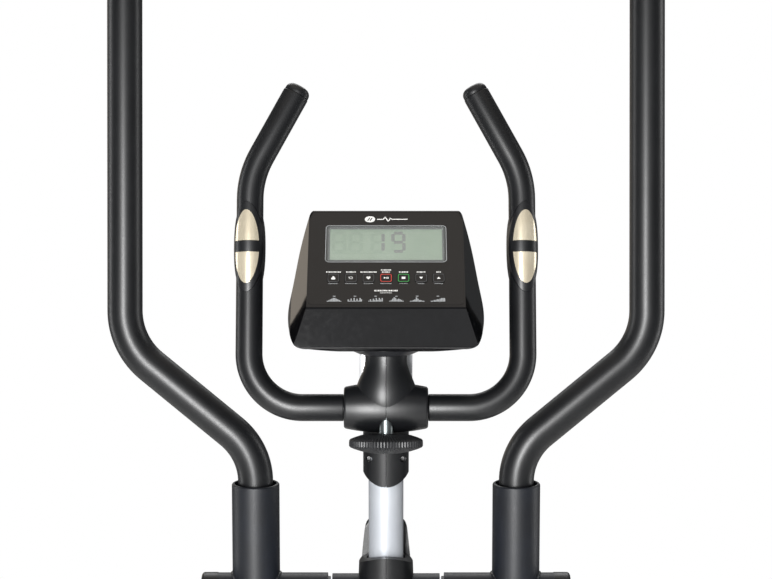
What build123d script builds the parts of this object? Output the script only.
from build123d import *
import math
import os

# A rear-drive elliptical trainer, in millimetres.
# X points to the rider's right, Y points forwards, Z points up. The origin is on the floor, under the
# middle of the machine. The rider stands behind the console and looks along +Y.

# ------------------------------------------------ driving dimensions
PIVOT_Y, PIVOT_Z = 520.0, 930.0        # axis of the swing arms, across the mast
MAST_LEAN = 8.0                        # degrees that the mast leans back towards the rider
ARM_LEAN = 3.0                         # degrees that the swing arms lean back at rest
ARM_X = 145.0                          # swing arms and pedal tubes, from the centre plane
ARM_REACH = 631.0                      # pivot to the pin that carries the pedal tube
CRANK_Y, CRANK_Z = -335.0, 300.0       # crank axle
CRANK_THROW = 180.0
FLYWHEEL_Y, FLYWHEEL_Z = -575.0, 280.0
HALF_WIDTH_HOUSING = 72.0

CROSSBAR_Y, CROSSBAR_Z = PIVOT_Y - 93.0, PIVOT_Z + 222.5   # fixed handlebar's crossbar
BAR_LEAN = 12.0                        # degrees that the fixed handlebar leans away from the rider
KNOB_Y, KNOB_Z = CROSSBAR_Y - 19.0, PIVOT_Z + 186.9

RUNNING = 0.05                         # radial clearance of a shaft in its bore
GAP = 0.5                              # visible gap between neighbouring covers
SIDES = {"left": -1, "right": 1}
UPWARDS = (Align.CENTER, Align.CENTER, Align.MIN)
FROM_CORNER = (Align.MIN, Align.MIN, Align.MIN)

os.makedirs("parts", exist_ok=True)


# ------------------------------------------------ helpers
def save(shape, name):
    """Write one node."""
    export_step(shape, f"parts/{name}.step")


def x_rod(radius, x_from, x_to, y=0.0, z=0.0):
    """A solid cylinder along X."""
    low, high = sorted((x_from, x_to))
    return Pos(low, y, z) * Rot(0, 90, 0) * Cylinder(radius, high - low, align=UPWARDS)


def rod(start, end, radius):
    """A solid cylinder between two points."""
    start, end = Vector(*start), Vector(*end)
    plane = Plane(origin=start, z_dir=end - start)
    return plane * Cylinder(radius, (end - start).length, align=UPWARDS)


def box(x, y, z):
    """A box given by its ranges along X, Y and Z."""
    size = [b - a for a, b in (x, y, z)]
    low = [a for a, b in (x, y, z)]
    return Pos(*low) * Box(*size, align=FROM_CORNER)


def swept(path, radius):
    """A round bar along a path."""
    return sweep(Plane(path @ 0, z_dir=path % 0) * Circle(radius), path=path)


def hull_plate(circles, x_from, x_to):
    """A plate across X whose outline is the hull of (y, z, radius) circles."""
    rings = [Pos(y, z) * Circle(radius) for y, z, radius in circles]
    outline = make_hull([edge for ring in rings for edge in ring.edges()])
    side = Plane(origin=(x_from, 0, 0), x_dir=(0, 1, 0), z_dir=(1, 0, 0))
    return extrude(side * outline, x_to - x_from)


def mirrored(shape, side):
    """The same shape on the left or the right."""
    return shape if side > 0 else mirror(shape, Plane.YZ)


def group(*shapes):
    """Separate solids that share one node."""
    return Compound(children=[solid for shape in shapes for solid in shape.solids()])


lean = math.radians(MAST_LEAN)
mast_frame = Plane(origin=(0, PIVOT_Y, PIVOT_Z), x_dir=(1, 0, 0), z_dir=(0, -math.sin(lean), math.cos(lean)))
swing = math.radians(ARM_LEAN)
arm_axis = Vector(0, -math.sin(swing), math.cos(swing))     # up along a swing arm


# ------------------------------------------------ base: rail, stabilisers, end caps, wheels
RAIL_HALF, RAIL_LOW, RAIL_HIGH, WALL = 30.0, 70.0, 120.0, 2.5
STABILISER_R, STABILISER_Z, STABILISER_HALF = 30.0, 40.0, 225.0
FRONT_BAR_Y, REAR_BAR_Y = 650.0, -590.0
CAP_LENGTH = 62.0
WHEEL_R, WHEEL_Y, WHEEL_Z, WHEEL_X, WHEEL_WIDTH = 25.0, 694.0, 29.0, 240.0, 20.0
PLATE_X, PLATE = 30.0, 5.0             # inner face and thickness of the plates that carry the drive
CRANK_BEARING_R, FLYWHEEL_BEARING_R = 20.0, 16.0


def base_frame():
    """The rail, with two saddles for the stabilisers and the pair of plates that carries the drive."""
    rail = box((-RAIL_HALF, RAIL_HALF), (REAR_BAR_Y - 45, FRONT_BAR_Y + 30), (RAIL_LOW, RAIL_HIGH))
    rail = fillet(rail.edges().filter_by(Axis.Y), 8)
    hollow = box((-RAIL_HALF + WALL, RAIL_HALF - WALL), (REAR_BAR_Y - 37, FRONT_BAR_Y + 22),
                 (RAIL_LOW + WALL, RAIL_HIGH - WALL))
    frame = rail - fillet(hollow.edges().filter_by(Axis.Y), 5)
    for y in (FRONT_BAR_Y, REAR_BAR_Y):
        saddle = box((-38, 38), (y - 34, y + 34), (STABILISER_Z + 8, RAIL_LOW + 4))
        frame += saddle - x_rod(STABILISER_R, -40, 40, y, STABILISER_Z) - hollow
    plate = [(CRANK_Y, CRANK_Z, 34), (FLYWHEEL_Y, FLYWHEEL_Z, 26), (CRANK_Y, 105, 15),
             (FLYWHEEL_Y + 30, 105, 15)]
    for side in SIDES.values():
        frame += mirrored(hull_plate(plate, PLATE_X, PLATE_X + PLATE), side)
    frame += x_rod(26, -PLATE_X - 1, PLATE_X + 1, CRANK_Y, CRANK_Z)
    frame -= x_rod(CRANK_BEARING_R, -60, 60, CRANK_Y, CRANK_Z)
    return frame - x_rod(FLYWHEEL_BEARING_R, -60, 60, FLYWHEEL_Y, FLYWHEEL_Z)


def stabiliser(y):
    bar = x_rod(STABILISER_R, -STABILISER_HALF, STABILISER_HALF, y, STABILISER_Z)
    return bar - x_rod(STABILISER_R - WALL, -STABILISER_HALF, STABILISER_HALF, y, STABILISER_Z)


def end_cap(y, side, fork):
    """A moulded cap with a flat foot. The front ones carry a fork for a transport wheel."""
    near, far = STABILISER_HALF - 30, STABILISER_HALF - 30 + CAP_LENGTH
    if fork:
        near, far = STABILISER_HALF - 47, STABILISER_HALF + 34
    cap = x_rod(STABILISER_R + 4, near, far, y, STABILISER_Z)
    cap += box((near, far), (y - 26, y + 26), (0, STABILISER_Z))
    cap = fillet(cap.edges().group_by(Axis.X)[-1], 5)
    if fork:
        cheeks = hull_plate([(y + 20, STABILISER_Z, 18), (WHEEL_Y, WHEEL_Z, 16)], near + 3, far - 6)
        gap_half = WHEEL_WIDTH / 2 + 1
        slot = box((WHEEL_X - gap_half, WHEEL_X + gap_half), (WHEEL_Y - WHEEL_R - 4, WHEEL_Y + 40), (-5, 90))
        cap = cap + (cheeks - slot)
        cap -= Pos(WHEEL_X, WHEEL_Y, WHEEL_Z) * Rot(0, 90, 0) * Cylinder(WHEEL_R + 3, 2 * gap_half)
        cap -= x_rod(4, near, far + 1, WHEEL_Y, WHEEL_Z)
    cap -= x_rod(STABILISER_R + 0.2, near - 1, STABILISER_HALF + 0.3, y, STABILISER_Z)
    return mirrored(cap, side)


def transport_wheel(side):
    hub = Pos(WHEEL_X, WHEEL_Y, WHEEL_Z) * Rot(0, 90, 0)
    wheel = hub * fillet(Cylinder(WHEEL_R, WHEEL_WIDTH).edges(), 4)
    tread = hub * (Cylinder(WHEEL_R + 1, 3) - Cylinder(WHEEL_R - 1, 3))
    pin = x_rod(4 - RUNNING, WHEEL_X - 30, WHEEL_X + 18, WHEEL_Y, WHEEL_Z)
    return mirrored(wheel - tread + pin, side)


save(base_frame(), "base_frame")
save(group(stabiliser(FRONT_BAR_Y), stabiliser(REAR_BAR_Y)), "stabiliser_tubes")
caps = [end_cap(FRONT_BAR_Y, side, True) for side in SIDES.values()]
caps += [end_cap(REAR_BAR_Y, side, False) for side in SIDES.values()]
save(group(*caps), "stabiliser_end_caps")
for word, side in SIDES.items():
    save(transport_wheel(side), f"transport_wheel_{word}")


# ------------------------------------------------ mast: post, pivot housing, upper tube
POST_R, MAST_R = 30.0, 19.3
HOUSING_R, HOUSING_HALF = 22.0, 60.0
AXLE_R, AXLE_HALF = 10.0, 186.0
MAST_FOOT = 24.0                       # start of the upper tube, along the mast above the pivot
MAST_TOP = 238.0
SPIGOT_R = MAST_R - 2.05


def mast_post():
    """The lower post on its bolted flange, with a lid and a stub that reach the pivot housing."""
    foot = (RAIL_HIGH - PIVOT_Z - 0.5) / math.cos(lean)
    post = mast_frame * Pos(0, 0, foot - 6) * Cylinder(POST_R, -20 - foot, align=UPWARDS)
    post -= mast_frame * Pos(0, 0, foot - 7) * Cylinder(POST_R - WALL, -34 - foot, align=UPWARDS)
    post -= box((-80, 80), (PIVOT_Y, PIVOT_Y + 300), (0, RAIL_HIGH))
    stub = mast_frame * Pos(0, 0, -27) * Cylinder(SPIGOT_R, 20, align=UPWARDS)
    foot_y = PIVOT_Y + (PIVOT_Z - RAIL_HIGH) * math.tan(lean)
    flange = box((-42, 42), (foot_y - 55, foot_y + 40), (RAIL_HIGH, RAIL_HIGH + 6))
    flange = fillet(flange.edges().filter_by(Axis.Z), 10)
    gusset = Plane.YZ * Polygon((foot_y - 52, RAIL_HIGH + 5), (foot_y - 20, RAIL_HIGH + 5),
                                (foot_y - 30, RAIL_HIGH + 90), align=None)
    whole = post + stub + flange
    for x in (-24, 19):
        whole += Pos(x, 0, 0) * extrude(gusset, 5)
    return whole - x_rod(HOUSING_R, -HOUSING_HALF, HOUSING_HALF, PIVOT_Y, PIVOT_Z)


def pivot_housing():
    """The tube across the mast that holds the axle, with the spigot that carries the upper tube."""
    spigot = mast_frame * Cylinder(SPIGOT_R, 83, align=UPWARDS)
    housing = spigot + x_rod(HOUSING_R, -HOUSING_HALF, HOUSING_HALF, PIVOT_Y, PIVOT_Z)
    return housing - x_rod(AXLE_R, -HOUSING_HALF - 1, HOUSING_HALF + 1, PIVOT_Y, PIVOT_Z)


def mast_tube():
    length = MAST_TOP - MAST_FOOT
    tube = Pos(0, 0, MAST_FOOT) * (Cylinder(MAST_R, length, align=UPWARDS)
                                   - Cylinder(MAST_R - 2, length, align=UPWARDS))
    return mast_frame * tube - x_rod(HOUSING_R + 0.5, -60, 60, PIVOT_Y, PIVOT_Z)


save(mast_post(), "mast_post")
save(pivot_housing(), "pivot_housing")
save(mast_tube(), "mast_tube")
save(x_rod(AXLE_R, -AXLE_HALF, AXLE_HALF, PIVOT_Y, PIVOT_Z), "pivot_axle")


# ------------------------------------------------ lower mast cover: two halves round the pivot
def lower_cover(side):
    """One half of the boot: a low arched front, and a taller arch behind the mast."""
    column = mast_frame * Pos(0, 3, -75) * extrude(Ellipse(34, 40), 175, taper=2.0)
    front_arch = Pos(0, PIVOT_Y, PIVOT_Z - 3) * Rot(90, 0, 0) * Cylinder(50, 200)
    below = box((-60, 60), (PIVOT_Y - 100, PIVOT_Y + 100), (PIVOT_Z - 90, PIVOT_Z - 3))
    front = column & (front_arch + below)
    tall_arch = Pos(0, PIVOT_Y + 30, PIVOT_Z + 58) * Rot(90, 0, 0) * Cylinder(30, 34)
    tall_arch += box((-30, 30), (PIVOT_Y + 13, PIVOT_Y + 47), (PIVOT_Z - 60, PIVOT_Z + 58))
    tall_arch = fillet(tall_arch.edges().group_by(Axis.Y)[0], 3.5)
    whole = front + (tall_arch & column)
    whole -= mast_frame * Pos(0, 0, 20) * Cylinder(MAST_R + 2.2, 200)
    whole -= mast_frame * Pos(0, 0, -100) * Cylinder(POST_R + 0.4, 150)
    whole -= x_rod(HOUSING_R + 0.4, -80, 80, PIVOT_Y, PIVOT_Z)
    whole -= box((-60, 60), (PIVOT_Y - 90, PIVOT_Y + 90), (PIVOT_Z - 160, PIVOT_Z - 62))
    half = whole & box((GAP / 2, 60), (PIVOT_Y - 90, PIVOT_Y + 90), (PIVOT_Z - 90, PIVOT_Z + 120))
    return mirrored(half, side)


save(group(*[lower_cover(side) for side in SIDES.values()]), "lower_mast_covers")


# ------------------------------------------------ handlebar clamp, its sleeve, the head covers
BAR_TUBE_R = 12.7
BARREL_HALF, BARREL_END_R, BARREL_MID_R = 45.0, 22.0, 27.0
SLEEVE_R, KNOB_TOP = 7.5, 9.9
CONSOLE_FLOOR = PIVOT_Z + 288.0
NECK_TOP = CONSOLE_FLOOR - 8.5
BRACKET_HALF, BRACKET_Y, BRACKET_LOW = 28.5, CROSSBAR_Y + 25.0, CROSSBAR_Z + 15.5
KNOB_LEAN = 6.0                        # degrees that the knob's stud leans away from the rider
knob_frame = Plane(origin=(0, KNOB_Y, KNOB_Z), x_dir=(1, 0, 0),
                   z_dir=(0, math.sin(math.radians(KNOB_LEAN)), math.cos(math.radians(KNOB_LEAN))))


def handlebar_clamp():
    """A steel saddle welded to the mast that grips the crossbar, with the zinc sleeve of its bolt."""
    grip = x_rod(18, -20, 20, CROSSBAR_Y, CROSSBAR_Z)
    mast_y = PIVOT_Y - (CROSSBAR_Z - PIVOT_Z) * math.tan(lean)
    arm = box((-15, 15), (CROSSBAR_Y + 8, mast_y - 12), (CROSSBAR_Z - 13, CROSSBAR_Z + 13))
    arm -= mast_frame * Pos(0, 0, 180) * Cylinder(MAST_R, 200)
    sleeve = knob_frame * Pos(0, 0, KNOB_TOP + 0.5) * Cylinder(SLEEVE_R, 18, align=UPWARDS)
    stud = knob_frame * Cylinder(4, 26, align=UPWARDS)
    whole = grip + arm + sleeve + stud
    return whole - x_rod(BAR_TUBE_R + RUNNING, -30, 30, CROSSBAR_Y, CROSSBAR_Z)


def head_cover(side):
    """One half of the moulding over the clamp: a barrel on the crossbar, a neck up to the console and a
    tongue down the mast."""
    profile = make_face([
        Line((-BARREL_HALF, 0), (-BARREL_HALF, BARREL_END_R)),
        ThreePointArc((-BARREL_HALF, BARREL_END_R), (0, BARREL_MID_R), (BARREL_HALF, BARREL_END_R)),
        Line((BARREL_HALF, BARREL_END_R), (BARREL_HALF, 0)),
        Line((BARREL_HALF, 0), (-BARREL_HALF, 0)),
    ])
    barrel = revolve(profile, Axis.X)
    barrel = Pos(0, CROSSBAR_Y, CROSSBAR_Z) * fillet(barrel.edges().filter_by(GeomType.CIRCLE), 3)
    rings = [(0, CROSSBAR_Z - 2, 26, 25), (0, CROSSBAR_Z + 30, 29, 25), (1, CROSSBAR_Z + 44, 23.5, 22.5),
             (2, NECK_TOP, 22.8, 22)]
    neck = loft([Pos(0, CROSSBAR_Y + dy, z) * Ellipse(half_x, half_y) for dy, z, half_x, half_y in rings])
    mast_y = PIVOT_Y - (CROSSBAR_Z - PIVOT_Z) * math.tan(lean)
    bridge = box((-24, 24), (CROSSBAR_Y, mast_y + 24), (CROSSBAR_Z - 24, CROSSBAR_Z + 24))
    bridge = fillet(bridge.edges().filter_by(Axis.X) + bridge.edges().filter_by(Axis.Z), 14)
    tongue = mast_frame * Pos(0, 0, 120) * Cylinder(25.2, 110, align=UPWARDS)
    point = Pos(0, PIVOT_Y, PIVOT_Z + 168) * Rot(90, 0, 0) * extrude(Ellipse(33, 41), 100, both=True)
    above = box((-60, 60), (PIVOT_Y - 120, PIVOT_Y + 60), (PIVOT_Z + 168, PIVOT_Z + 300))
    tongue = tongue & (point + above)
    whole = barrel + neck + bridge + tongue
    whole -= mast_frame * Pos(0, 0, 100) * Cylinder(MAST_R + 0.4, MAST_TOP - 98, align=UPWARDS)
    whole -= x_rod(BAR_TUBE_R + 2.6, -60, 60, CROSSBAR_Y, CROSSBAR_Z)
    whole -= x_rod(18.5, -20.5, 20.5, CROSSBAR_Y, CROSSBAR_Z)
    whole -= box((-15.5, 15.5), (CROSSBAR_Y, mast_y), (CROSSBAR_Z - 13.5, CROSSBAR_Z + 13.5))
    whole -= knob_frame * Cylinder(SLEEVE_R + 1.2, 32, align=UPWARDS)
    whole -= box((-BRACKET_HALF - GAP, BRACKET_HALF + GAP), (BRACKET_Y - GAP, BRACKET_Y + 24),
                 (BRACKET_LOW - GAP, NECK_TOP + 5))
    whole -= Pos(0, CROSSBAR_Y + 1, 0) * extrude(Pos(0, 0, CROSSBAR_Z + 22) * Circle(12), 60)
    for x in (-18.5, 18.5):
        whole -= rod((x, PIVOT_Y - 60, PIVOT_Z + 158), (x, PIVOT_Y - 31, PIVOT_Z + 158), 3.4)
    half = whole & box((GAP / 2, 60), (PIVOT_Y - 150, PIVOT_Y + 60), (PIVOT_Z + 90, PIVOT_Z + 300))
    return mirrored(half, side)


def console_bracket():
    """A bent steel channel from the head of the mast up to the underside of the console."""
    top = CONSOLE_FLOOR - 0.2
    channel = box((-BRACKET_HALF, BRACKET_HALF), (BRACKET_Y, BRACKET_Y + 20), (BRACKET_LOW, top))
    channel = fillet(channel.edges().filter_by(Axis.Z).group_by(Axis.Y)[0], 3)
    channel -= box((-BRACKET_HALF + 2, BRACKET_HALF - 2), (BRACKET_Y + 2, BRACKET_Y + 21),
                   (BRACKET_LOW - 1, top - 2))
    return channel


save(handlebar_clamp(), "handlebar_clamp")
save(console_bracket(), "console_bracket")
for word, side in SIDES.items():
    save(head_cover(side), f"head_cover_{word}")


# ------------------------------------------------ clamp knob
KNOB_R, KNOB_RIM, KNOB_FOOT, SCALLOPS = 39.5, 5.0, -10.6, 48


def clamp_knob():
    """A lens-shaped moulding with a scalloped rim and a short neck, bored for its stud."""
    outline = make_face([
        Polyline((0, KNOB_FOOT), (13, KNOB_FOOT), (13, KNOB_FOOT + 0.4)),
        ThreePointArc((13, KNOB_FOOT + 0.4), (27, -8.6), (KNOB_R - 1, -KNOB_RIM)),
        ThreePointArc((KNOB_R - 1, -KNOB_RIM), (KNOB_R, 0), (KNOB_R - 1, KNOB_RIM)),
        ThreePointArc((KNOB_R - 1, KNOB_RIM), (27, 8.2), (13, 9.6)),
        Polyline((13, 9.6), (12, KNOB_TOP), (0, KNOB_TOP), (0, KNOB_FOOT)),
    ])
    knob = revolve(Plane.XZ * outline, Axis.Z)
    for turn in range(SCALLOPS):
        knob -= Rot(0, 0, 360 * turn / SCALLOPS) * Pos(KNOB_R + 0.6, 0, 0) * Cylinder(1.4, 20)
    return knob_frame * (knob - Cylinder(4 + RUNNING, 40))


save(clamp_knob(), "clamp_knob")


# ------------------------------------------------ console
FACE_TOP = Vector(0, PIVOT_Y - 30.0, PIVOT_Z + 430.0)      # upper edge of the sloping face
FACE_FOOT = Vector(0, PIVOT_Y - 136.0, PIVOT_Z + 334.5)    # where the face turns down into the lip
face_down = (FACE_FOOT - FACE_TOP).normalized()
face_out = Vector(0, face_down.Z, -face_down.Y)            # out of the face, towards the rider
FACE_LENGTH = (FACE_FOOT - FACE_TOP).length
SHELL = 2.5
CONSOLE_HALF, ROOF_HALF = 104.5, 83.5
FLOOR_BOW = 5.0                                            # rise of the console's floor at its ends
FASCIA_HALF, FASCIA, FASCIA_END = 82.0, 1.2, FACE_LENGTH - 3.2
WINDOW_HALF, WINDOW_FROM, WINDOW_TO = 64.0, 23.5, 76.5     # display, down the face from its upper edge
KEY_PITCH, KEY_ROW = 18.6, 101.0
KEY_HALF, KEY_PROUD, KEY_TRAVEL, KEY_GAP = 6.4, 0.6, 0.5, 0.25
KEYS = ["assess", "reset", "recovery", "start_stop", "mode", "down", "up"]
PART_DEPTH = 34.0                                          # parting line between bezel and rear shell
BOARD_DEPTH = 14.0


def on_face(depth=0.0):
    """The plane of the sloping face, moved into the console: x across, y up the face, z out of it."""
    return Plane(origin=FACE_TOP - face_out * depth, x_dir=(1, 0, 0), z_dir=face_out)


def face_block(half_x, down_from, down_to, depth_from, depth_to, radius=0.0, x=0.0):
    """A block set into the face: its half width, its range down the face and its range of depth."""
    outline = Pos(x, -(down_from + down_to) / 2) * Rectangle(2 * half_x, down_to - down_from)
    if radius:
        outline = fillet(outline.vertices(), radius)
    return extrude(on_face(depth_to) * outline, depth_to - depth_from)


def console_body(inset):
    """The closed outer form of the console, moved in by inset on every side."""
    y, z = FACE_TOP.Y, FACE_TOP.Z
    corners = [((y, z), 3), ((FACE_FOOT.Y, FACE_FOOT.Z), 8), ((FACE_FOOT.Y - 8.5, CONSOLE_FLOOR), 6),
               ((y + 14, CONSOLE_FLOOR), 6), ((y + 24, z - 22), 9), ((y + 10, z - 1), 4)]
    side = make_face(Polyline(*[corner for corner, radius in corners], close=True))
    if inset:
        side = offset(side, -inset, kind=Kind.INTERSECTION)
    else:
        for corner, radius in corners:
            side = fillet(side.vertices().sort_by_distance((*corner, 0))[0], radius)
    low, high, half = CONSOLE_FLOOR - 2 + inset, z + 3 - inset, CONSOLE_HALF - inset
    edge = [(half - 2, low + 21), (half, low + 33), (half - 4, low + 62), (half - 11, high - 48),
            (half - 23, high - 3)]
    foot = [edge[0], (half - 8.5, low + 9), (half - 23, low + FLOOR_BOW)]
    front = make_face([
        Spline(*edge),
        ThreePointArc(edge[-1], (0, high), (-edge[-1][0], edge[-1][1])),
        Spline(*[(-x, height) for x, height in edge]),
        Spline(*[(-x, height) for x, height in foot]),
        ThreePointArc((-foot[-1][0], foot[-1][1]), (0, low + 0.5), foot[-1]),
        Spline(*foot),
    ])
    shoulders = [vertex for vertex in front.vertices() if abs(vertex.Y - edge[-1][1]) < 0.01]
    front = fillet(shoulders, 7)
    ridge, flare = ROOF_HALF - inset, 100.0 * math.tan(math.radians(28))
    roof = Polygon((-ridge, -inset), (ridge, -inset), (ridge + flare, -100), (ridge + flare, -200),
                   (-ridge - flare, -200), (-ridge - flare, -100), align=None)
    wedge = extrude(Plane.YZ * side, 140, both=True)
    seen = extrude(Plane(origin=(0, y + 60, 0), x_dir=(1, 0, 0), z_dir=(0, -1, 0)) * front, 320)
    ridged = extrude(Plane(origin=FACE_TOP, x_dir=(1, 0, 0), z_dir=face_down) * roof, 320, both=True)
    return wedge & seen & ridged


def key_places():
    return [(name, (index - 3) * KEY_PITCH) for index, name in enumerate(KEYS)]


def key_block(x, half, depth_from, depth_to, radius):
    return face_block(half, KEY_ROW - half, KEY_ROW + half, depth_from, depth_to, radius, x)


def console_bezel(outer, inner):
    front = face_block(200, -60, 260, -30, PART_DEPTH - 0.2)
    bezel = (outer - inner) & front
    bezel -= face_block(FASCIA_HALF, 2.5, FASCIA_END, -5, FASCIA, 5)
    bezel -= face_block(WINDOW_HALF - 2, WINDOW_FROM + 2, WINDOW_TO - 2, -5, 10, 2)
    for name, x in key_places():
        bezel -= key_block(x, KEY_HALF + 1.2, -5, 10, 2.5)
    return bezel


def console_fascia():
    fascia = face_block(FASCIA_HALF - 0.35, 2.85, FASCIA_END - 0.35, 0, FASCIA, 4.65)
    fascia -= face_block(WINDOW_HALF, WINDOW_FROM, WINDOW_TO, -5, 5, 4)
    for name, x in key_places():
        fascia -= key_block(x, KEY_HALF + KEY_GAP, -5, 5, 2.25)
    return fascia


def console_rear_shell(outer, inner):
    """The back and floor of the console, with a shallow boss over the neck and posts for the board."""
    back = face_block(200, -60, 260, PART_DEPTH, 200)
    shell = (outer - inner) & back
    boss = loft([Pos(0, CROSSBAR_Y + 14, CONSOLE_FLOOR + 1) * Ellipse(52, 44),
                 Pos(0, CROSSBAR_Y + 14, CONSOLE_FLOOR - 8) * Ellipse(30, 36)])
    shell += boss - inner
    shell -= box((-BRACKET_HALF - GAP, BRACKET_HALF + GAP), (BRACKET_Y - GAP, BRACKET_Y + 21),
                 (NECK_TOP, CONSOLE_FLOOR))
    for x in (-60, 60):
        post = face_block(4, 118, 126, BOARD_DEPTH + 1.6, 90, 3, x)
        shell += post & outer
    return shell


def circuit_board():
    """The board behind the face, with a tact switch under each key."""
    board = face_block(72, 16, 128, BOARD_DEPTH, BOARD_DEPTH + 1.6, 3)
    for name, x in key_places():
        board += key_block(x, 3, BOARD_DEPTH - 3.5, BOARD_DEPTH, 0.5)
    return board


def key(x):
    """A key cap in the fascia, with a collar that keeps it in and a stem that works the switch."""
    cap = key_block(x, KEY_HALF, -KEY_PROUD, FASCIA + 0.6, 2)
    cap = fillet(cap.faces().sort_by(Axis(FACE_TOP, face_out))[-1].edges(), 0.4)
    stem = key_block(x, 2, FASCIA + 0.6, BOARD_DEPTH - 3.5 - KEY_TRAVEL - 0.15, 0.5)
    return cap + stem


outer, inner = console_body(0), console_body(SHELL)
save(console_bezel(outer, inner), "console_bezel")
save(console_fascia(), "console_fascia")
save(console_rear_shell(outer, inner), "console_rear_shell")
window = face_block(WINDOW_HALF - 0.3, WINDOW_FROM + 0.3, WINDOW_TO - 0.3, 0.1, FASCIA, 3.7)
module = face_block(WINDOW_HALF + 3, WINDOW_FROM - 3, WINDOW_TO + 3, SHELL + 0.6, BOARD_DEPTH - 1, 2)
save(window, "display_window")
save(module, "display_module")
save(circuit_board(), "circuit_board")
for name, x in key_places():
    save(key(x), f"key_{name}")


# ------------------------------------------------ fixed handlebar: tube, foam, plugs, pulse sensors
BAR_X, BAR_CORNER_R, BAR_FOAM_R = 147.0, 58.0, 14.5
BAR_BEND, BAR_BEND_R = 251.0, 100.0    # along the upright, from the crossbar to the inward bend
BAR_TIP, BAR_TIP_X = 341.0, 98.0
SENSOR_AT, SENSOR_HALF, SENSOR_R = 172.5, 49.0, 17.1
SENSOR_TURN = 12.0                     # degrees that each sensor faces outwards
PLATE_HALF, BAND_HALF = 39.8, 6.2

tilt = math.radians(BAR_LEAN)
bar_plane = Plane(origin=(0, CROSSBAR_Y, CROSSBAR_Z), x_dir=(1, 0, 0),
                  z_dir=(0, -math.cos(tilt), math.sin(tilt)))


def bar_path(side, start):
    """Half of the handlebar's centre line, from x = start on the crossbar to the tip."""
    points = [(side * start, 0), (side * BAR_X, 0), (side * BAR_X, BAR_BEND), (side * BAR_TIP_X, BAR_TIP)]
    line = FilletPolyline(*points, radius=[BAR_CORNER_R, BAR_BEND_R])
    return bar_plane * line


def handlebar_tube():
    left, right = (swept(bar_path(side, 0), BAR_TUBE_R) for side in (-1, 1))
    left_bore, right_bore = (swept(bar_path(side, 0), BAR_TUBE_R - 1.5) for side in (-1, 1))
    return left + right - left_bore - right_bore


def sensor_frame(side):
    """At the middle of a sensor: z along the upright, -y towards the rider and a little outwards."""
    at = bar_plane * Pos(side * BAR_X, SENSOR_AT, 0)
    return at * Rot(-90, 0, 0) * Rot(0, 0, side * SENSOR_TURN)


def spindle(radius, half):
    """A barrel along z, with this radius at its middle and the foam's radius at its ends."""
    outline = make_face([
        Polyline((0, half), (0, -half), (BAR_FOAM_R + 0.1, -half)),
        ThreePointArc((BAR_FOAM_R + 0.1, -half), (radius, 0), (BAR_FOAM_R + 0.1, half)),
        Line((BAR_FOAM_R + 0.1, half), (0, half)),
    ])
    return revolve(Plane.XZ * outline, Axis.Z)


def oval(half_width, half_length):
    """A prism through the bar whose outline is an ellipse, seen from the rider's side."""
    return extrude(Plane.XZ * Ellipse(half_width, half_length), 40, both=True)


def sensor_pieces(side):
    """The front and back shells of one pulse sensor, and the two pairs of contact plates in them."""
    ring = spindle(SENSOR_R, SENSOR_HALF + 0.5) & oval(SENSOR_R - 0.6, SENSOR_HALF)
    ring -= Cylinder(BAR_TUBE_R, 200)
    plates = spindle(SENSOR_R + 0.3, SENSOR_HALF + 0.5) & oval(13.4, PLATE_HALF)
    plates -= spindle(SENSOR_R - 1.2, SENSOR_HALF + 1)
    plates -= Box(60, 60, 2 * BAND_HALF)
    split = Box(60, 0.4, 200)
    place = sensor_frame(side)
    return place * (ring - plates - split), place * (plates - split)


def bar_foam(side):
    """The foam of one side, cut to a point above and below the sensor."""
    path = bar_path(side, BARREL_HALF + 0.4)
    sleeve = swept(path, BAR_FOAM_R) - swept(path, BAR_TUBE_R)
    return sleeve - sensor_frame(side) * oval(SENSOR_R - 0.3, SENSOR_HALF + 0.4)


def bar_plug(side):
    """A domed plug in the end of the tube."""
    path = bar_path(side, 0)
    end = Plane(path @ 1, z_dir=path % 1)
    head = Pos(0, 0, 0.3) * Cylinder(BAR_FOAM_R - 0.6, 9.5, align=UPWARDS)
    head = fillet(head.edges().sort_by(Axis.Z)[-1], 7.5)
    stem = Pos(0, 0, -18) * Cylinder(BAR_TUBE_R - 1.5, 19, align=UPWARDS)
    return end * (head + stem)


save(handlebar_tube(), "handlebar_tube")
save(group(*[bar_foam(side) for side in SIDES.values()]), "handlebar_foams")
save(group(*[bar_plug(side) for side in SIDES.values()]), "handlebar_plugs")
sensors = [sensor_pieces(side) for side in SIDES.values()]
save(group(*[shells for shells, plates in sensors]), "pulse_sensor_shells")
save(group(*[plates for shells, plates in sensors]), "pulse_sensor_plates")


# ------------------------------------------------ swing arms: lower arm, handle, foam, bushes, caps
HUB_R, HUB_FROM, HUB_TO, HUB_BORE = 23.0, 65.0, 188.0, 13.0
SOCKET_R, SOCKET_TOP, COUNTERBORE_R = 26.5, 125.7, 23.5
ARM_R, HANDLE_R, HANDLE_FOAM_R = 19.0, 16.0, 19.5
HANDLE_X = 289.5
HANDLE_LEAN = 4.5                      # degrees that the handles lean away from the rider
HANDLE_TOP = 722.0
LOW_HUB_R, LOW_HUB_HALF, LOW_BORE, LOW_PIN_R = 17.0, 25.0, 11.0, 8.0
FLANGE = 3.0

PIN_Y = PIVOT_Y + ARM_REACH * math.sin(swing)
PIN_Z = PIVOT_Z - ARM_REACH * math.cos(swing)


def arm_point(x, rise, side):
    """A point on the plane of a swing arm, so far above the pivot."""
    return (side * x, PIVOT_Y - rise * math.tan(swing), PIVOT_Z + rise)


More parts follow.
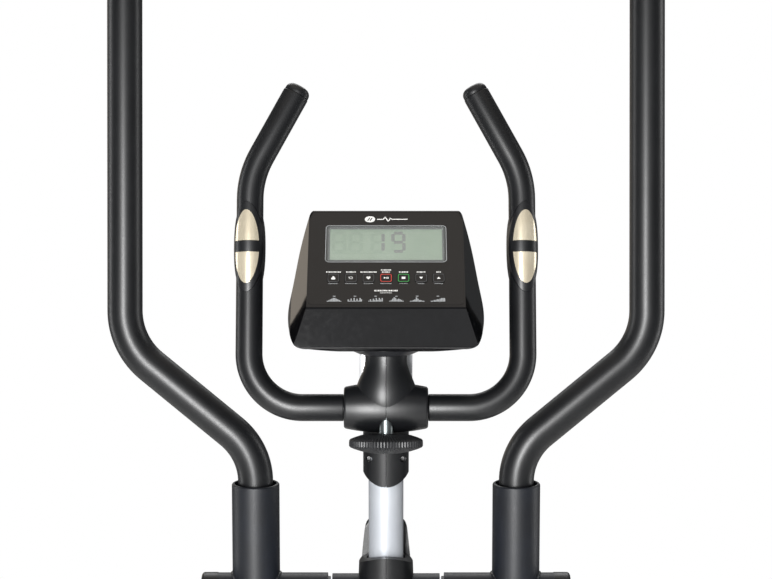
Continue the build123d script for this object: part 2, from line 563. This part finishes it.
def handle_path(side, start):
    """Centre line of a handle: up from the socket, outwards, and up again."""
    low, turn = arm_point(ARM_X, start, side), arm_point(ARM_X, 162, side)
    lean = math.tan(math.radians(HANDLE_LEAN))
    corner = (side * HANDLE_X, turn[1] + (280 - 162) * lean, PIVOT_Z + 280)
    top = (side * HANDLE_X, corner[1] + (HANDLE_TOP - 280) * lean, PIVOT_Z + HANDLE_TOP)
    return FilletPolyline(low, turn, corner, top, radius=[71, 80])


def lower_arm(side):
    """The weldment that swings: hub on the axle, socket above it, arm, and a small hub at its foot."""
    pivot, pin = (side * ARM_X, PIVOT_Y, PIVOT_Z), (side * ARM_X, PIN_Y, PIN_Z)
    hub = x_rod(HUB_R, side * HUB_FROM, side * HUB_TO, PIVOT_Y, PIVOT_Z)
    low_hub = x_rod(LOW_HUB_R, side * (ARM_X - LOW_HUB_HALF), side * (ARM_X + LOW_HUB_HALF), PIN_Y, PIN_Z)
    socket = rod(pivot, arm_point(ARM_X, SOCKET_TOP, side), SOCKET_R)
    socket = fillet(socket.edges().sort_by(Axis.Z)[-1], 2)
    weldment = hub + low_hub + socket + rod(pivot, pin, ARM_R)
    mouth, rim = arm_point(ARM_X, SOCKET_TOP - 18, side), arm_point(ARM_X, SOCKET_TOP + 5, side)
    weldment -= rod(mouth, rim, COUNTERBORE_R)
    weldment -= rod(arm_point(ARM_X, 30, side), rim, HANDLE_R)
    hollow_foot = Vector(*pin) + arm_axis * (LOW_HUB_R + 6)
    weldment -= rod(Vector(*pivot) - arm_axis * (HUB_R + 6), hollow_foot, ARM_R - 2)
    weldment -= x_rod(HUB_BORE, side * (HUB_FROM - 1), side * (HUB_TO + 1), PIVOT_Y, PIVOT_Z)
    return weldment - x_rod(LOW_BORE, side * (ARM_X - 40), side * (ARM_X + 40), PIN_Y, PIN_Z)


def handle_tube(side):
    path = handle_path(side, 31)
    return swept(path, HANDLE_R) - swept(path, HANDLE_R - 1.8)


def handle_foam(side):
    path = handle_path(side, SOCKET_TOP - 8)
    return swept(path, HANDLE_FOAM_R) - swept(path, HANDLE_R)


def flanged_bush(x, outwards, bore, outer, length, y, z):
    """A bush with its flange outwards, against a hub face at x."""
    step = 1 if outwards > 0 else -1
    bush = x_rod(outer, x - step * length, x, y, z) + x_rod(outer + 6, x, x + step * FLANGE, y, z)
    return bush - x_rod(bore, x - 60, x + 60, y, z)


def arm_bushes(side):
    bushes = []
    for x, way in ((HUB_FROM, -1), (HUB_TO, 1)):
        bore = AXLE_R + RUNNING
        bushes.append(flanged_bush(side * x, side * way, bore, HUB_BORE, 22, PIVOT_Y, PIVOT_Z))
    for x, way in ((ARM_X - LOW_HUB_HALF, -1), (ARM_X + LOW_HUB_HALF, 1)):
        bore = LOW_PIN_R + RUNNING
        bushes.append(flanged_bush(side * x, side * way, bore, LOW_BORE, 18, PIN_Y, PIN_Z))
    return group(*bushes)


def arm_caps(side):
    """The cap over the end of the pivot hub, and the domed plug in the top of the handle."""
    cap = x_rod(HUB_R + 0.5, side * HUB_TO, side * (HUB_TO + 18), PIVOT_Y, PIVOT_Z)
    cap = fillet(cap.edges().sort_by(Axis.X)[-1 if side > 0 else 0], 4)
    cap -= x_rod(HUB_R - 2, side * (HUB_TO - 1), side * (HUB_TO + 15), PIVOT_Y, PIVOT_Z)
    path = handle_path(side, 31)
    end = Plane(path @ 1, z_dir=path % 1)
    head = Pos(0, 0, 0.3) * Cylinder(HANDLE_FOAM_R, 12, align=UPWARDS)
    head = fillet(head.edges().sort_by(Axis.Z)[-1], 8)
    stem = Pos(0, 0, -25) * Cylinder(HANDLE_R - 1.8, 26, align=UPWARDS)
    return group(cap, end * (head + stem))


for word, side in SIDES.items():
    save(lower_arm(side), f"{word}_lower_arm")
    save(handle_tube(side), f"{word}_handle_tube")
    save(handle_foam(side), f"{word}_handle_foam")
    save(arm_bushes(side), f"{word}_arm_bushes")
    save(arm_caps(side), f"{word}_arm_caps")


# ------------------------------------------------ pedal tubes: from the arm's foot to the crank
TUBE_R, CHEEK_IN, CHEEK_OUT = 22.0, 29.0, 35.0
REAR_HUB_R, REAR_HUB_FROM, REAR_HUB_TO, REAR_BORE = 21.0, 112.0, 170.0, 12.0
CRANK_BOSS_FACE = 106.0
PEDAL_FROM, PEDAL_TO, PEDAL_IN, PEDAL_OUT = 200.0, 560.0, 76.0, 216.0
PEDAL_FLOOR, PEDAL_RIM = 8.0, 30.0


def crank_end(side):
    """Height of a crank pin at rest: the left one is up, the right one is down."""
    return CRANK_Z - side * CRANK_THROW


def tube_frame(side):
    """At the arm's foot: x to the right, y back along the pedal tube, z up from it."""
    back = Vector(0, CRANK_Y - PIN_Y, crank_end(side) - PIN_Z)
    up, along = Vector(0, 0, 1), back.normalized()
    normal = (up - along * up.dot(along)).normalized()
    return Plane(origin=(side * ARM_X, PIN_Y, PIN_Z), x_dir=back.cross(normal), z_dir=normal), back.length


def pedal_tube(side):
    """A yoke round the arm's foot, the long tube, and the hub that the crank pin runs in."""
    frame, length = tube_frame(side)
    cheeks = []
    for x in (-CHEEK_OUT, CHEEK_IN):
        ear = Pos(x, 0, 0) * Rot(0, 90, 0) * Cylinder(18, CHEEK_OUT - CHEEK_IN, align=UPWARDS)
        ear += Pos(x, 0, -18) * Box(CHEEK_OUT - CHEEK_IN, 40, 36, align=FROM_CORNER)
        cheeks.append(ear)
    bridge = Pos(0, 38, 0) * Box(2 * CHEEK_OUT, 7, 36, align=(Align.CENTER, Align.MIN, Align.CENTER))
    tube = Pos(0, 44, 0) * Rot(-90, 0, 0) * (Cylinder(TUBE_R, length - 44, align=UPWARDS)
                                            - Cylinder(TUBE_R - 2, length - 44 - REAR_HUB_R, align=UPWARDS))
    whole = frame * (cheeks[0] + cheeks[1] + bridge + tube)
    whole -= x_rod(LOW_PIN_R, -250, 250, PIN_Y, PIN_Z)
    y, z = CRANK_Y, crank_end(side)
    whole += x_rod(REAR_HUB_R, side * REAR_HUB_FROM, side * REAR_HUB_TO, y, z)
    return whole - x_rod(REAR_BORE, -250, 250, y, z)


def tube_pins(side):
    """The pin through the yoke, and the sleeve and pin in the rear hub, with a round head outside."""
    y, z = CRANK_Y, crank_end(side)
    front = x_rod(LOW_PIN_R, side * (ARM_X - CHEEK_OUT - 3), side * (ARM_X + CHEEK_OUT + 3), PIN_Y, PIN_Z)
    for x in (ARM_X - CHEEK_OUT, ARM_X + CHEEK_OUT + 5):
        front += x_rod(12, side * x, side * (x - 5), PIN_Y, PIN_Z)
    rear = x_rod(REAR_BORE, side * (CRANK_BOSS_FACE + 0.6), side * (REAR_HUB_TO + 1), y, z)
    cap = x_rod(REAR_HUB_R + 1, side * (REAR_HUB_TO + 0.2), side * (REAR_HUB_TO + 14), y, z)
    cap = fillet(cap.edges().sort_by(Axis.X)[-1 if side > 0 else 0], 5)
    return group(front, rear + cap)


def foot_pedal(side):
    """A ribbed tray with a raised rim and a taller toe, on two saddles over the tube."""
    frame, length = tube_frame(side)
    centre = side * ((PEDAL_IN + PEDAL_OUT) / 2 - ARM_X)
    width, long = PEDAL_OUT - PEDAL_IN, PEDAL_TO - PEDAL_FROM
    plan = Pos(centre, (PEDAL_FROM + PEDAL_TO) / 2) * Rectangle(width, long)
    plan = fillet(plan.vertices(), 38)
    low = TUBE_R + 1.5
    tray = Pos(0, 0, low) * extrude(plan, PEDAL_RIM + PEDAL_FLOOR)
    tray = fillet(tray.edges().group_by(Axis.Z)[0], 6)
    well = Pos(0, 0, low + PEDAL_FLOOR) * extrude(offset(plan, -7), 60)
    floor, above = low + PEDAL_FLOOR, low + PEDAL_RIM + 40
    toe_cut = Plane.YZ * Polygon((PEDAL_FROM + 70, floor + 16), (PEDAL_FROM - 5, above),
                                 (PEDAL_TO + 5, above), (PEDAL_TO + 5, floor + 12), align=None)
    tray = tray - well - extrude(toe_cut, 200, both=True)
    for row in range(16):
        tray += Pos(centre, PEDAL_FROM + 45 + 18 * row, floor) * Box(width - 44, 5, 2.4)
    for y in (PEDAL_FROM + 90, PEDAL_TO - 90):
        saddle = Pos(0, y, -4) * Box(64, 60, low + 5, align=UPWARDS)
        tray += fillet(saddle.edges().filter_by(Axis.Z), 6)
    tray -= Pos(0, 44, 0) * Rot(-90, 0, 0) * Cylinder(TUBE_R, length, align=UPWARDS)
    return frame * tray


for word, side in SIDES.items():
    save(pedal_tube(side), f"{word}_pedal_tube")
    save(tube_pins(side), f"{word}_tube_pins")
    save(foot_pedal(side), f"{word}_foot_pedal")


# ------------------------------------------------ drive: crank, pulley, belt, flywheel, brake
CRANK_AXLE_R, CRANK_AXLE_HALF = 10.0, 101.0
CRANK_IN, CRANK_OUT = 84.0, 100.0
DISC_R, DISC_IN, DISC_OUT = 130.0, 75.5, 80.0
PULLEY_R, PULLEY_IN, PULLEY_OUT = 130.0, 41.0, 55.0
FLYWHEEL_R, FLYWHEEL_HALF, FLYWHEEL_AXLE_R, SMALL_PULLEY_R = 115.0, 18.0, 8.0, 20.0
BELT, BELT_GAP = 3.0, 0.3
BRAKE_Y, BRAKE_Z, MAGNET_R = -464.0, 196.0, 119.0


def crank_arms():
    arms = []
    for side in SIDES.values():
        end = crank_end(side)
        arm = hull_plate([(CRANK_Y, CRANK_Z, 25), (CRANK_Y, end, 18)], CRANK_IN, CRANK_OUT)
        arm = fillet(arm.edges().group_by(Axis.X)[-1], 3)
        arm += x_rod(17, CRANK_OUT - 1, CRANK_BOSS_FACE, CRANK_Y, end)
        arms.append(mirrored(arm - x_rod(CRANK_AXLE_R, 0, 200, CRANK_Y, CRANK_Z), side))
    return group(*arms)


def crank_axle():
    axle = x_rod(CRANK_AXLE_R, -CRANK_AXLE_HALF, CRANK_AXLE_HALF, CRANK_Y, CRANK_Z)
    for side in SIDES.values():
        axle += x_rod(14, side * CRANK_AXLE_HALF, side * (CRANK_AXLE_HALF + 5), CRANK_Y, CRANK_Z)
    return axle


def crank_discs():
    discs = []
    for side in SIDES.values():
        disc = x_rod(DISC_R, DISC_IN, DISC_OUT, CRANK_Y, CRANK_Z)
        disc = fillet(disc.edges().group_by(Axis.X)[-1], 3)
        disc -= x_rod(DISC_R - 14, DISC_OUT - 1.5, DISC_OUT + 1, CRANK_Y, CRANK_Z)
        disc += x_rod(34, DISC_OUT - 2, CRANK_IN, CRANK_Y, CRANK_Z)
        discs.append(mirrored(disc - x_rod(CRANK_AXLE_R, 0, 200, CRANK_Y, CRANK_Z), side))
    return group(*discs)


def drive_pulley():
    """A spoked pulley with a low flange on each edge."""
    pulley = x_rod(PULLEY_R, PULLEY_IN, PULLEY_OUT, CRANK_Y, CRANK_Z)
    for x in (PULLEY_IN - 2, PULLEY_OUT):
        pulley += x_rod(PULLEY_R + BELT + 2, x, x + 2, CRANK_Y, CRANK_Z)
    for turn in range(6):
        angle = math.radians(60 * turn + 30)
        y, z = CRANK_Y + 78 * math.cos(angle), CRANK_Z + 78 * math.sin(angle)
        pulley -= x_rod(30, PULLEY_IN - 5, PULLEY_OUT + 5, y, z)
    return pulley - x_rod(CRANK_AXLE_R, 0, 80, CRANK_Y, CRANK_Z)


def drive_belt():
    x_from, x_to = PULLEY_IN + 0.6, PULLEY_OUT - 0.6
    rounds = [(CRANK_Y, CRANK_Z, PULLEY_R), (FLYWHEEL_Y, FLYWHEEL_Z, SMALL_PULLEY_R)]
    outside = hull_plate([(y, z, radius + BELT_GAP + BELT) for y, z, radius in rounds], x_from, x_to)
    return outside - hull_plate([(y, z, radius + BELT_GAP) for y, z, radius in rounds], x_from - 1, x_to + 1)


def flywheel():
    """A cast wheel with a heavy rim, and the small pulley turned on its hub."""
    wheel = x_rod(FLYWHEEL_R, -FLYWHEEL_HALF, FLYWHEEL_HALF, FLYWHEEL_Y, FLYWHEEL_Z)
    for side in SIDES.values():
        dish = x_rod(FLYWHEEL_R - 26, side * 7, side * 30, FLYWHEEL_Y, FLYWHEEL_Z)
        wheel -= dish - x_rod(26, side * 5, side * 30, FLYWHEEL_Y, FLYWHEEL_Z)
    small = x_rod(SMALL_PULLEY_R, PULLEY_IN - 1, PULLEY_OUT + 1, FLYWHEEL_Y, FLYWHEEL_Z)
    bore = x_rod(FLYWHEEL_AXLE_R, -80, 80, FLYWHEEL_Y, FLYWHEEL_Z)
    return group(wheel - bore, small - bore)


def drive_bearings():
    """Four ball bearings as plain rings: two for the crank axle, two for the flywheel's."""
    rings = []
    for side in SIDES.values():
        ring = x_rod(CRANK_BEARING_R, PLATE_X - 7, PLATE_X + PLATE, CRANK_Y, CRANK_Z)
        rings.append(mirrored(ring - x_rod(CRANK_AXLE_R + RUNNING, 0, 80, CRANK_Y, CRANK_Z), side))
        ring = x_rod(FLYWHEEL_BEARING_R, PLATE_X - 5, PLATE_X + PLATE, FLYWHEEL_Y, FLYWHEEL_Z)
        rings.append(mirrored(ring - x_rod(FLYWHEEL_AXLE_R + RUNNING, 0, 80, FLYWHEEL_Y, FLYWHEEL_Z), side))
    return group(*rings)


def brake_bracket():
    """A channel bent round the flywheel's rim, with its magnets, on a cross pin between the plates."""
    def arc(outer_r, inner_r, half):
        band = x_rod(outer_r, -half, half, FLYWHEEL_Y, FLYWHEEL_Z)
        return band - x_rod(inner_r, -half - 1, half + 1, FLYWHEEL_Y, FLYWHEEL_Z)

    wedge = Plane.YZ * Polygon((FLYWHEEL_Y, FLYWHEEL_Z), (FLYWHEEL_Y + 150, FLYWHEEL_Z - 120),
                               (FLYWHEEL_Y - 20, FLYWHEEL_Z - 220), (FLYWHEEL_Y - 80, FLYWHEEL_Z - 160),
                               align=None)
    channel = arc(MAGNET_R + 3, MAGNET_R, 25) + arc(MAGNET_R + 3, 96, 25) - arc(MAGNET_R, 90, 22.5)
    channel = channel & extrude(wedge, 60, both=True)
    near_end = (FLYWHEEL_Y + 95, FLYWHEEL_Z - 76)
    lug = hull_plate([(BRAKE_Y, BRAKE_Z, 9), (*near_end, 6)], -25, 25)
    lug -= x_rod(MAGNET_R, -22.5, 22.5, FLYWHEEL_Y, FLYWHEEL_Z)
    return channel + lug - x_rod(4 + RUNNING, -60, 60, BRAKE_Y, BRAKE_Z)


def rear_housing(side):
    """One half of the shell round the drive, with a mouth for the crank axle."""
    outline = [(CRANK_Y, CRANK_Z, 165), (FLYWHEEL_Y, FLYWHEEL_Z, 145), (-230, 125, 42), (-640, 125, 42)]
    shell = hull_plate(outline, GAP / 2, HALF_WIDTH_HOUSING)
    shell = fillet(shell.edges().group_by(Axis.X)[-1], 12)
    cavity = hull_plate([(y, z, radius - 3) for y, z, radius in outline], -1, HALF_WIDTH_HOUSING - 3)
    shell -= fillet(cavity.edges().group_by(Axis.X)[-1], 9)
    shell -= x_rod(16, 0, 100, CRANK_Y, CRANK_Z)
    shell -= box((-RAIL_HALF - GAP, RAIL_HALF + GAP), (-760, 0), (RAIL_LOW - GAP, RAIL_HIGH + GAP))
    shell -= x_rod(STABILISER_R + 3, -100, 100, REAR_BAR_Y, STABILISER_Z)
    shell -= box((-39, 39), (REAR_BAR_Y - 36, REAR_BAR_Y + 36), (0, RAIL_LOW + 1))
    return mirrored(shell, side)


save(crank_arms(), "crank_arms")
save(crank_axle(), "crank_axle")
save(crank_discs(), "crank_discs")
save(drive_pulley(), "drive_pulley")
save(drive_belt(), "drive_belt")
save(flywheel(), "flywheel")
save(x_rod(FLYWHEEL_AXLE_R, -PLATE_X - 8, PULLEY_OUT + 4, FLYWHEEL_Y, FLYWHEEL_Z), "flywheel_axle")
save(drive_bearings(), "drive_bearings")
save(brake_bracket(), "brake_bracket")
for word, side in SIDES.items():
    save(rear_housing(side), f"rear_housing_{word}")
